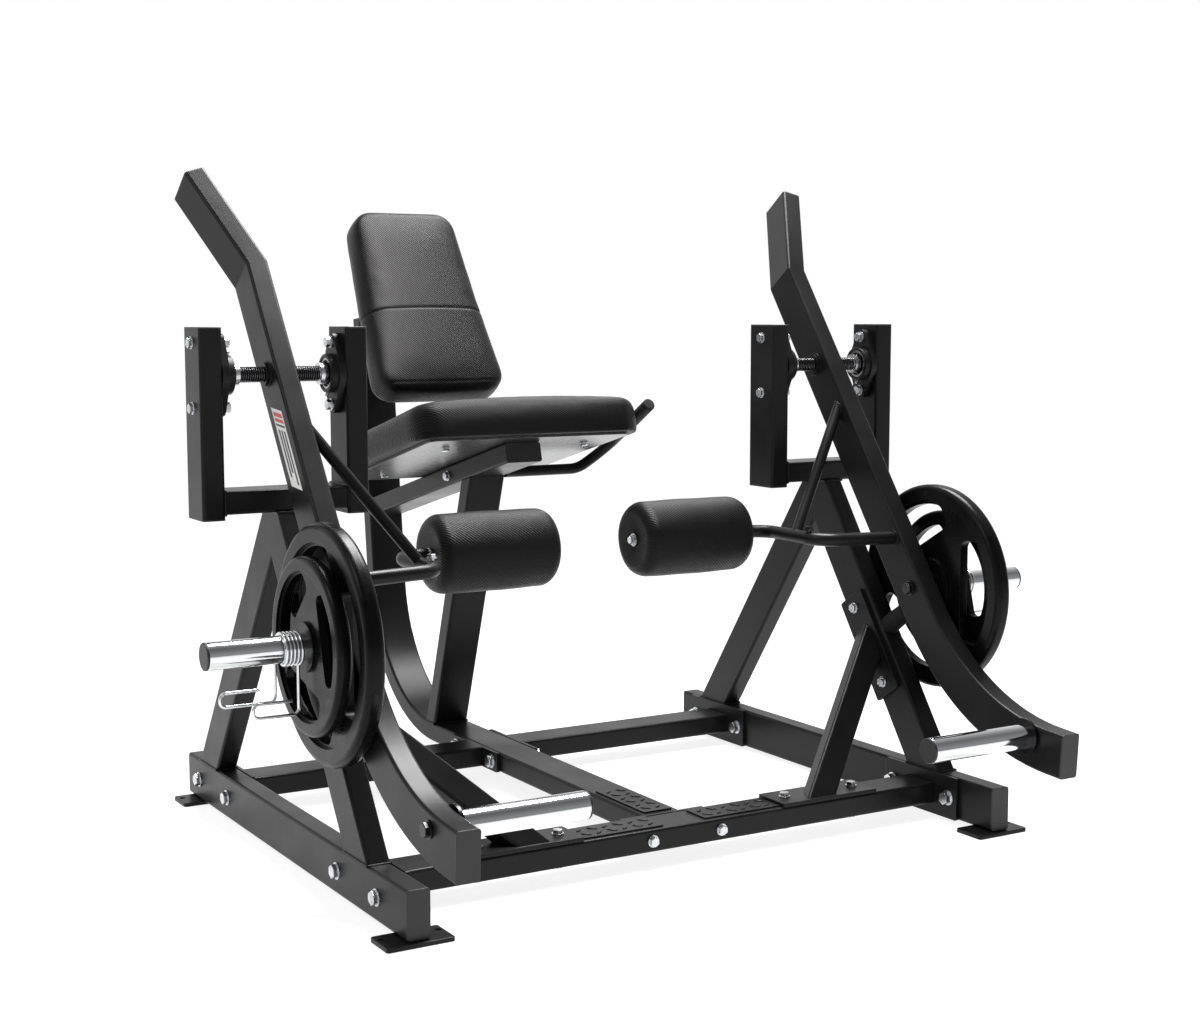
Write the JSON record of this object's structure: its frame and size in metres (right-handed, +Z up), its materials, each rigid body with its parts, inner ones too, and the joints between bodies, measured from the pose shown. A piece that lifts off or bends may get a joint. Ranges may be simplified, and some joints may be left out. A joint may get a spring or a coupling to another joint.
{
  "type": "leg extension machine",
  "caption": "Plate-loaded seated leg extension machine with an independent pivoting lever, roller pad and loading horns for each leg, and a reclined padded seat.",
  "frame": {"origin": "on the floor under the centre of the bounding box, on the mirror plane between the two levers", "axes": "+X to the sitter's left when facing forward from the seat, which is the machine's right seen from the front; +Y to the rear behind the backrest; +Z up"},
  "size_m": [1.867, 1.8834, 1.3588],
  "materials": {
    "satin_black_paint": "satin black powder coat",
    "zinc_steel": "bright zinc plate",
    "chrome": "polished chrome plate",
    "bearing_steel": "ground steel",
    "cast_housing": "black painted casting",
    "plate_rubber": "moulded black rubber skin",
    "bumper_rubber": "matte rubber",
    "grip_rubber": "matte ribbed rubber",
    "black_vinyl": "black vinyl with a fine twill emboss",
    "plywood": "birch plywood",
    "black_plastic": "moulded black plastic"
  },
  "bodies": {
    "frame": {"back_board": "plywood", "back_bracket": "satin_black_paint", "back_cushion": "black_vinyl", "bearing_housings": "cast_housing", "bearing_inserts": "bearing_steel", "foot_plates": "satin_black_paint", "frame_bolts": "zinc_steel", "front_cross_rail": "satin_black_paint", "front_post": "satin_black_paint", "front_struts": "satin_black_paint", "handle_grip": "grip_rubber", "handle_tube": "satin_black_paint", "joint_plates": "satin_black_paint", "left_front_leg": "satin_black_paint", "left_inner_upright": "satin_black_paint", "left_outer_upright": "satin_black_paint", "left_rear_leg": "satin_black_paint", "left_side_rail": "satin_black_paint", "pad_bolts": "zinc_steel", "rear_cross_rails": "satin_black_paint", "right_front_leg": "satin_black_paint", "right_inner_upright": "satin_black_paint", "right_outer_upright": "satin_black_paint", "right_rear_leg": "satin_black_paint", "right_side_rail": "satin_black_paint", "seat_beam": "satin_black_paint", "seat_board": "plywood", "seat_cushion": "black_vinyl", "seat_plate": "satin_black_paint", "spine_tube": "satin_black_paint", "step_plates": "satin_black_paint", "stop_bumpers": "bumper_rubber", "tower_crossbars": "satin_black_paint", "tube_end_plugs": "black_plastic"},
    "left_lever": {"left_lever": "satin_black_paint", "left_lever_plugs": "black_plastic", "left_pivot_shaft": "bearing_steel", "left_bearing_inner_rings": "bearing_steel", "left_weight_horns": "chrome", "left_lever_bolts": "zinc_steel", "left_roller_arm": "satin_black_paint", "left_roller_axle": "zinc_steel"},
    "left_roller": {"left_roller_core": "bearing_steel", "left_roller_pad": "black_vinyl"},
    "left_load": {"left_big_plate": "plate_rubber", "left_small_plate": "plate_rubber", "left_spring_collar": "chrome"},
    "right_lever": {"right_lever": "satin_black_paint", "right_lever_plugs": "black_plastic", "right_pivot_shaft": "bearing_steel", "right_bearing_inner_rings": "bearing_steel", "right_weight_horns": "chrome", "right_lever_bolts": "zinc_steel", "right_roller_arm": "satin_black_paint", "right_roller_axle": "zinc_steel"},
    "right_roller": {"right_roller_core": "bearing_steel", "right_roller_pad": "black_vinyl"},
    "right_load": {"right_big_plate": "plate_rubber", "right_small_plate": "plate_rubber", "right_spring_collar": "chrome"}
  },
  "joints": [
    {"name": "left_lever_pivot", "type": "hinge", "parent": "frame", "child": "left_lever", "pos_m": [-0.657, -0.1317, 0.952], "axis": [-1, 0, 0], "range_deg": [0, 75]},
    {"name": "left_roller_spin", "type": "hinge", "parent": "left_lever", "child": "left_roller", "pos_m": [-0.2395, -0.2027, 0.589], "axis": [1, 0, 0], "continuous": true},
    {"name": "left_load_slide", "type": "slide", "parent": "left_lever", "child": "left_load", "axis": [-1, 0, 0], "range_m": [0, 0.13]},
    {"name": "right_lever_pivot", "type": "hinge", "parent": "frame", "child": "right_lever", "pos_m": [0.657, -0.1317, 0.952], "axis": [-1, 0, 0], "range_deg": [0, 75]},
    {"name": "right_roller_spin", "type": "hinge", "parent": "right_lever", "child": "right_roller", "pos_m": [0.2395, -0.2027, 0.589], "axis": [1, 0, 0], "continuous": true},
    {"name": "right_load_slide", "type": "slide", "parent": "right_lever", "child": "right_load", "axis": [1, 0, 0], "range_m": [0, 0.13]}
  ]
}
